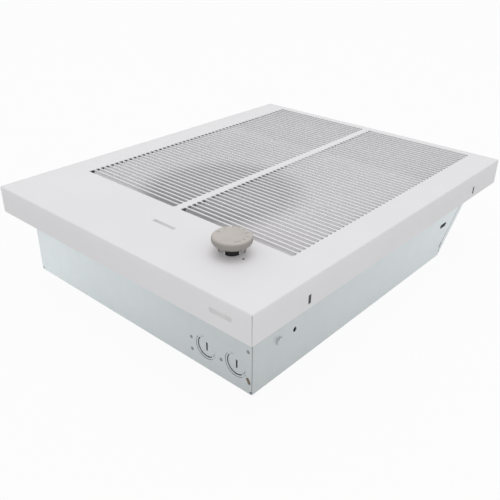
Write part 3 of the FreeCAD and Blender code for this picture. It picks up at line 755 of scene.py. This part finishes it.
def face_point(sheet, x, y, inset):
    """Point where a level crosses a line, or none in the open part of a slit."""
    slit = slit_at(y)
    if slit is None or inset is None:
        return sheet.point(x, y, face_z)
    if inset > 0 and y not in slit:
        return None
    return sheet.point(x, rounded(y, slit, inset), face_z)


def in_grille(left_end, right_end):
    """Whether a stretch across the face lies in one of the grille's columns."""
    return any(left <= left_end and right_end <= right for left, right in grille_columns)


def front_cover(material):
    """Pressed cover: the face with its louvres and holes, rolled edges, slotted flanges and corner seams."""
    sheet = Sheet()
    levels = face_rows()
    lines = face_columns()
    places = [x for x, inset in lines]
    # The face is a grid of points, without the cells of the slits and the two holes
    grid = [[face_point(sheet, x, y, inset) for x, inset in lines] for y in levels]
    hole_row = levels.index(hole_rows[0])
    hole_columns = [places.index(x) for x in hole_lines[:-1]]
    in_slits = [i for i in range(len(places) - 1) if in_grille(places[i], places[i + 1])]
    for j in range(len(levels) - 1):
        open_cells = set(hole_columns) if j == hole_row else set()
        slit = slit_at(levels[j])
        if slit and slit == slit_at(levels[j + 1]):
            open_cells.update(in_slits)
        sheet.strip(grid[j], grid[j + 1], open_cells)
        if slit and levels[j] == slit[1]:
            lips(sheet, grid[j], places)
    low, high = grid[hole_row:hole_row + 2]
    holes = ((knob_x, knob_y, cover_hole), (pointer_x, pointer_y, pointer_hole))
    for i, (x, y, diameter) in zip(hole_columns, holes):
        edge = sheet.circle((x, y, face_z), x_axis, y_axis, diameter / 2, hole_points, hole_start)
        sheet.holed([low[i], low[i + 1], high[i + 1], high[i]], edge)
    flanges(sheet, grid, levels)
    sheet.outwards(z_axis)
    sheet.done("louvred_cover", material, "heater", ["front_cover"], cover_gauge)


def lips(sheet, edge, places):
    """Lip in each column, bent down from the straight part of a slit's far edge and curving back under it."""
    for left, right in grille_columns:
        straight = [v for v, x in zip(edge, places) if left + lip_inset < x < right - lip_inset]
        rows = [straight]
        for back, down in lip_rows:
            rows.append([sheet.point(v.co.x / mm, v.co.y / mm - back, face_z - down) for v in straight])
        sheet.strips(rows)


def flanges(sheet, grid, levels):
    """Flanges folded down from the face's four edges and seamed at the corners."""
    index_at = {-1: 0, 1: -1}
    slots = [i for i, y in enumerate(levels) if any(low <= y < high for low, high in clip_slots)]
    folds = {}
    for side, index in index_at.items():
        folds[side, 0] = fold_down(sheet, [row[index] for row in grid], (side, 0), slots)
        folds[0, side] = fold_down(sheet, grid[index], (0, side))
    for side in index_at:
        for end in index_at:
            first = [row[index_at[end]] for row in folds[side, 0]]
            last = [row[index_at[side]] for row in folds[0, end]]
            corner_seam(sheet, first, last, side, end)


def fold_levels():
    """Offsets outwards and heights of the rows round a bend and down a flange."""
    levels = []
    for angle in bend_angles:
        turn = math.radians(angle)
        levels.append((cover_bend * math.sin(turn), face_z - cover_bend * (1 - math.cos(turn))))
    return levels + [(cover_bend, z) for z in (clip_slot_top, clip_slot_foot, flange_foot)]


def fold_down(sheet, edge, outward, slots=()):
    """Rolled edge and flange from one edge of the face, open at the numbered clip slots."""
    across, along = outward
    rows = [edge]
    for out, z in fold_levels():
        rows.append([sheet.point(v.co.x / mm + across * out, v.co.y / mm + along * out, z) for v in edge])
    slot_row = len(bend_angles) + 1
    for k in range(len(rows) - 1):
        sheet.strip(rows[k], rows[k + 1], slots if k == slot_row else ())
    return rows


def corner_seam(sheet, first, last, side, end):
    """Ball corner under the face and the two flange edges below it, apart by a thin seam."""
    x = side * (cover_x - cover_bend)
    y = end * (cover_y - cover_bend)
    rows = []
    for k, (out, z) in enumerate(fold_levels(), 1):
        between = []
        for turn in map(math.radians, seam_angles):
            between.append(sheet.point(x + side * out * math.cos(turn), y + end * out * math.sin(turn), z))
        rows.append([first[k], *between, last[k]])
    sheet.fan(first[0], rows[0])
    seam = len(seam_angles) // 2
    seam_row = len(bend_angles) - 1
    for k in range(len(rows) - 1):
        sheet.strip(rows[k], rows[k + 1], (seam,) if k >= seam_row else ())


# End panel
def end_panel(material):
    """Flanged end of the can: two stepped knockouts with pry slots, and laps on the wrapper."""
    sheet = Sheet()
    reach = ring_radius + knockout_margin
    across = [-panel_x, corner_relief - panel_x, panel_x - corner_relief, panel_x]
    across.extend(x + side * reach for x in knockout_x for side in (-1, 1))
    across.sort()
    upward = [panel_foot, panel_foot + corner_relief, knockout_z - reach, knockout_z + reach, panel_top]
    rows = [[sheet.point(x, panel_y, z) for x in across] for z in upward]
    # The lowest strip lacks its corners, and the third is open where the knockouts go
    reliefs = (0, len(across) - 2)
    holes = [across.index(x - reach) for x in knockout_x]
    for k, skip in enumerate((reliefs, (), holes, ())):
        sheet.strip(rows[k], rows[k + 1], skip)
    low, high = rows[2:4]
    for i, x in zip(holes, knockout_x):
        rim = knockout_circle(sheet, x, ring_radius, 0.0)
        sheet.holed([low[i], low[i + 1], high[i + 1], high[i]], rim)
        knockout(sheet, x, rim)
    foot = rows[0][1:-1]
    sides = [[row[i] for row in rows[1:]] for i in (0, -1)]
    for edge in (foot, *sides):
        sheet.strip(edge, [sheet.point(v.co.x / mm, panel_y + panel_lap, v.co.z / mm) for v in edge])
    sheet.outwards(-y_axis)
    sheet.done("end_panel", material, "heater", ["can_bottom_end"],
               panel_gauge, panel_crease)


def knockout_circle(sheet, x, radius, depth):
    """Circle round a knockout's middle, some way in from the panel."""
    centre = (x, panel_y + depth, knockout_z)
    return sheet.circle(centre, x_axis, z_axis, radius, hole_points, hole_start)


def knockout(sheet, x, rim):
    """Ring and disc pressed inwards, cut free but for two tabs each, the disc with an upright slot."""
    ring_outside = knockout_circle(sheet, x, ring_radius - ring_gap, ring_step)
    ring_inside = knockout_circle(sheet, x, disc_radius + disc_gap, ring_step)
    disc = knockout_circle(sheet, x, disc_radius, disc_step)
    gaps = [i for i in range(hole_points) if i not in joined_stretches]
    sheet.ring(rim, ring_outside, gaps)
    sheet.ring(ring_outside, ring_inside)
    sheet.ring(ring_inside, disc, gaps)
    slot = []
    for side, end in square_corners:
        slot_x = x + side * pry_half_width
        slot.append(sheet.point(slot_x, panel_y + disc_step, knockout_z + end * pry_half_length))
    sheet.holed(slot, disc)


def weld_marks(name, material, spots):
    """Shallow spots left by spot welds on the end panel."""
    sheet = Sheet()
    for x, z in spots:
        rings = []
        for radius, rise in weld_rings:
            rings.append(sheet.circle((x, panel_y - rise, z), x_axis, z_axis, radius, weld_points))
        sheet.solid(rings)
    sheet.outwards()
    sheet.done(name, material, "heater")


# Top end
def top_end_rims(material, shadow_material):
    """Strip on each side of the top end, flush with the can, and a dark plate beside the wrapper that paints
    the joint's shadow.
    """
    for name, side in (("left", -1), ("right", 1)):
        profile_plate("top_end_rim_" + name, material, rim_outline, side, rim_planes)
        profile_plate("top_end_joint_shadow_" + name, shadow_material, joint_shadow_outline, side, joint_shadow_planes)


def profile_plate(name, material, outline, side, planes):
    """Plate on a side of the can, cut to an outline seen from that side."""
    sheet = Sheet()
    sheet.solid([[sheet.point(side * x, y, z) for y, z in outline] for x in planes])
    sheet.outwards()
    sheet.done(name, material, "heater")


def closing_strip(material):
    """Bent strip from the can's top end to the cover, under the slits that reach past the can."""
    sheet = Sheet()
    sheet.strips([[sheet.point(x, y, z) for x in strip_lines] for y, z in strip_section])
    sheet.outwards(z_axis)
    sheet.done("closing_strip", material, "heater", (), strip_gauge)


# Plates and plug
def bare_plate(name, material, corner, upward, size):
    """Thin bare plate on the cover or the can, its edges eased."""
    sheet = Sheet()
    length, height = size
    out = x_axis.cross(upward)
    rings = []
    for inset, rise in plate_rows:
        ring = []
        for i, j in ((0, 0), (1, 0), (1, 1), (0, 1)):
            place = Vector(corner) + out * rise
            place += x_axis * (inset + i * (length - 2 * inset))
            place += upward * (inset + j * (height - 2 * inset))
            ring.append(sheet.point(*place))
        rings.append(ring)
    sheet.solid(rings)
    sheet.outwards()
    sheet.done(name, material, "heater")


def pointer_plug(material):
    """Dark plug just below the face in the pointer's hole."""
    sheet = Sheet()
    radius = pointer_hole / 2 - plug_clearance
    rings = []
    for inset, depth in plug_section:
        centre = (pointer_x, pointer_y, face_z - depth)
        rings.append(sheet.circle(centre, x_axis, y_axis, radius - inset, plug_points))
    sheet.solid(rings)
    sheet.outwards()
    sheet.done("pointer_plug", material, "heater")


# Knob
def knob_profile():
    """Radii and heights down the knob's section: a shallow dish, a tight shoulder and a fuller belly."""
    profile = [(dish_radius, knob_high - dish_depth), (dish_radius + dish_edge, knob_high)]
    angles = [math.radians(90.0 * step / round_steps) for step in range(round_steps + 1)]
    across, down = shoulder_round
    for a in angles:
        profile.append((knob_radius - across * (1 - math.sin(a)), knob_high - down * (1 - math.cos(a))))
    across, down = belly_round
    for a in angles:
        profile.append((knob_radius - across * (1 - math.cos(a)), knob_low + down * (1 - math.sin(a))))
    profile.append((knob_hub_radius, knob_low))
    return profile


def knob(material):
    """Thick disc with a dished top and a rounded edge, on two tapering legs."""
    sheet = Sheet()
    top = sheet.point(knob_x, knob_y, knob_high - dish_depth)
    rings = []
    for radius, z in knob_profile():
        rings.append(sheet.circle((knob_x, knob_y, z), x_axis, y_axis, radius, knob_points))
    sheet.fan(top, rings[0] + rings[0][:1])
    sheet.rings(rings)
    under = sheet.point(knob_x, knob_y, knob_low)
    sheet.fan(under, rings[-1] + rings[-1][:1])
    for turn in leg_turns:
        knob_leg(sheet, math.radians(turn))
    sheet.outwards()
    sheet.done("dial_knob", material, "dial", ["knob"], crease=knob_crease)


def knob_leg(sheet, turn):
    """Leg that narrows and leans inwards on its way down."""
    outward = Vector((math.cos(turn), math.sin(turn), 0.0))
    along = Vector((-math.sin(turn), math.cos(turn), 0.0))
    rings = []
    for z, middle, half_width, half_thickness in leg_rows:
        ring = []
        for i, j in square_corners:
            place = outward * (middle + j * half_thickness) + along * (i * half_width)
            ring.append(sheet.point(knob_x + place.x, knob_y + place.y, z))
        rings.append(ring)
    sheet.solid(rings)


def dial_marks(material):
    """Strokes round the knob's top: a bar at the start, four ticks, three longer strokes and an end arc."""
    sheet = Sheet()
    mark_stroke(sheet, *start_bar)
    for turn in tick_turns:
        mark_stroke(sheet, turn, *tick_size)
    for turn in stroke_turns:
        mark_stroke(sheet, turn, *stroke_size)
    mark_stroke(sheet, *end_arc)
    sheet.outwards()
    sheet.done("dial_marks", material, "dial")


def mark_stroke(sheet, turn, inner, outer, wide):
    """Raised stroke between two radii, wide degrees across."""
    steps = max(2, int(wide / stroke_step))
    rows = []
    for z in (knob_high - stroke_sink, knob_high + stroke_rise):
        for radius in (inner, outer):
            row = []
            for i in range(steps + 1):
                angle = math.radians(turn + wide * (i / steps - 0.5))
                x = knob_x + radius * math.cos(angle)
                y = knob_y + radius * math.sin(angle)
                row.append(sheet.point(x, y, z))
            rows.append(row)
    low_in, low_out, high_in, high_out = rows
    for row, other in ((low_in, low_out), (high_in, high_out), (low_in, high_in), (low_out, high_out)):
        sheet.strip(row, other)
    for i in (0, -1):
        sheet.face(low_in[i], low_out[i], high_out[i], high_in[i])


camera()
studio()

# Materials that several pieces share
zinc = galvanised("galvanised_sheet", zinc_pale, zinc_dark, metallic=0.35)
frosted = galvanised("frosted_zinc", frost_pale, frost_dark, metallic=0.0)
screw_zinc = plain("zinc_screw", screw_grey, metallic=0.9, rough=0.35)
cast = plain("die_cast", cast_grey, metallic=0.4, rough=0.5)
black = plain("black_plastic", moulded_black, metallic=0.0, rough=0.45)
# Dark plates in the seams: painted shadow
joint = plain("joint_shadow", joint_shadow_grey, metallic=0.0, rough=0.7)

# CAD nodes
dress(zinc, "can_wrapper", "can_top_end", "motor_bracket", "deck_screws")
dress(screw_zinc, "bracket_screws", "motor_screws", "thermostat_screws", "limit_screws", "ground_screw")
dress(screw_zinc, "element_bushings")
dress(frosted, "fan_deck", "wiring_partition", "cover_bracket_left", "cover_bracket_right")
dress(frosted, "element_bracket_left", "element_bracket_right")
dress(plain("spring_steel", steel_grey, metallic=1.0, rough=0.3), "thermostat_shaft")
dress(plain("dark_spring", spring_grey, metallic=0.6, rough=0.45), "cover_clips")
dress(plain("motor_laminations", lamination_grey, metallic=0.3, rough=0.45), "motor_stator")
dress(plain("coil_wrap", coil_tape, metallic=0.0, rough=0.6), "motor_coil")
dress(cast, "motor_rear_bridge", "motor_front_bridge", "motor_rotor", "fan_hub")
dress(plain("fan_aluminium", aluminium, metallic=0.3, rough=0.45), "fan_blade", "element_fins")
dress(plain("element_sheath", sheath_grey, metallic=0.4, rough=0.5), "heating_element")
dress(black, "thermostat_body", "limit_control", "fan_delay_switch")

# Pieces of the scene
front_cover(enamel())
end_panel(zinc)
top_end_rims(zinc, joint)
# Painted shadow along the can's corner seam
bare_plate("corner_joint_shadow", joint, corner_joint_shadow_corner, z_axis, corner_joint_shadow_size)
closing_strip(frosted)
weld_marks("weld_spots", plain("weld_scale", weld_grey, metallic=0.5, rough=0.55), weld_spots)
weld_marks("weld_burn", plain("weld_burn", burnt_brown, metallic=0.2, rough=0.6), burnt_spots)
face_film = plain("face_film", face_plate_grey, metallic=0.0, rough=0.5)
bare_plate("face_plate", face_film, face_plate_corner, y_axis, face_plate_size)
flange_film = plain("flange_film", flange_plate_grey, metallic=0.0, rough=0.5)
bare_plate("flange_plate", flange_film, flange_plate_corner, z_axis, flange_plate_size)
pointer_plug(black)
knob(moulded_knob())
dial_marks(plain("dial_ink", mark_grey, metallic=0.0, rough=0.6))
